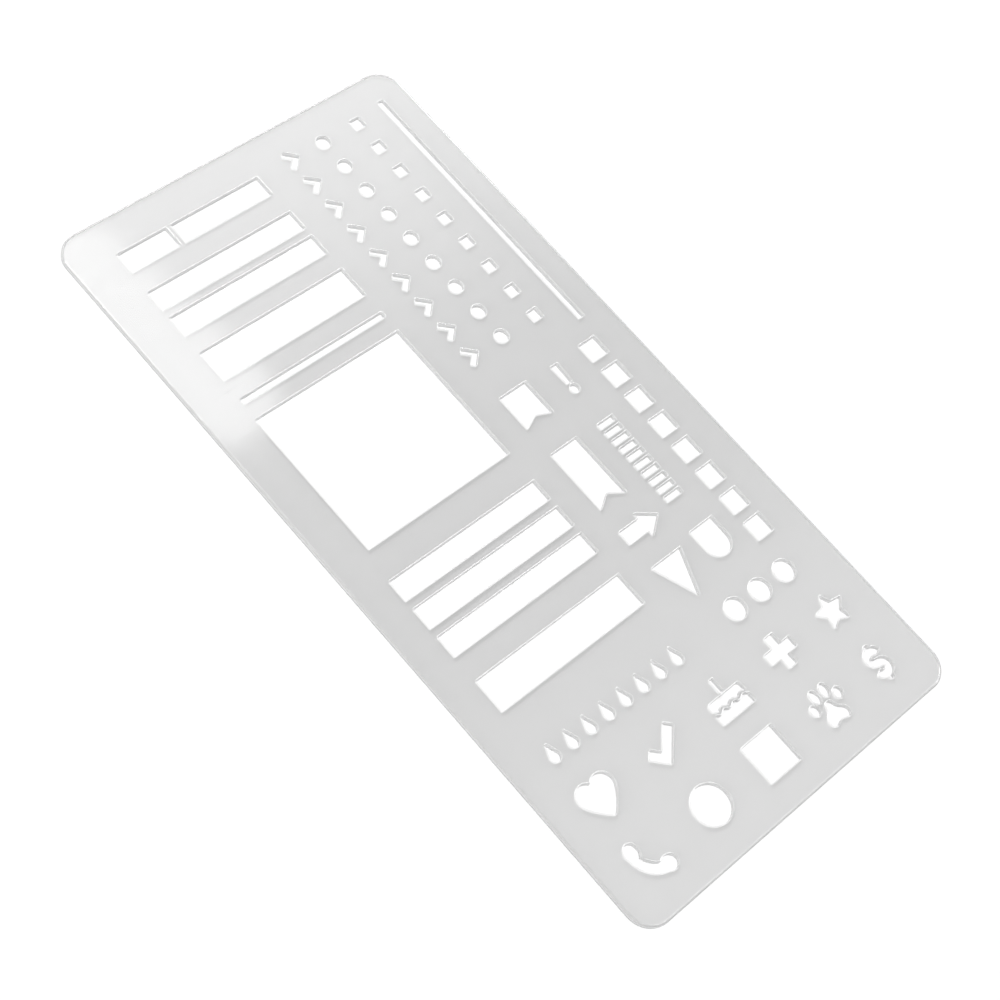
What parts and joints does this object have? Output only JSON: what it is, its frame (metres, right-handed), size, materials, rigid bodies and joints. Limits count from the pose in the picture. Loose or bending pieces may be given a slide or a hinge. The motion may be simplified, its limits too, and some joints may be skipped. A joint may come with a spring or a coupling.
{
  "type": "planner stencil",
  "caption": "Flat clear plastic planner stencil with rounded corners and cut-out boxes, writing lines, bullets, trackers and pictograms to draw through.",
  "frame": {"origin": "middle of the sheet, on its underside", "axes": "+Y along the long side, up the page that the stencil draws; +X across the page; +Z out of the upper face"},
  "size_m": [0.1016, 0.2032, 0.0015],
  "materials": {
    "clear_plastic": "clear polished faces with laser-cut edges"
  },
  "bodies": {
    "root": {"stencil_sheet": "clear_plastic"}
  },
  "joints": []
}
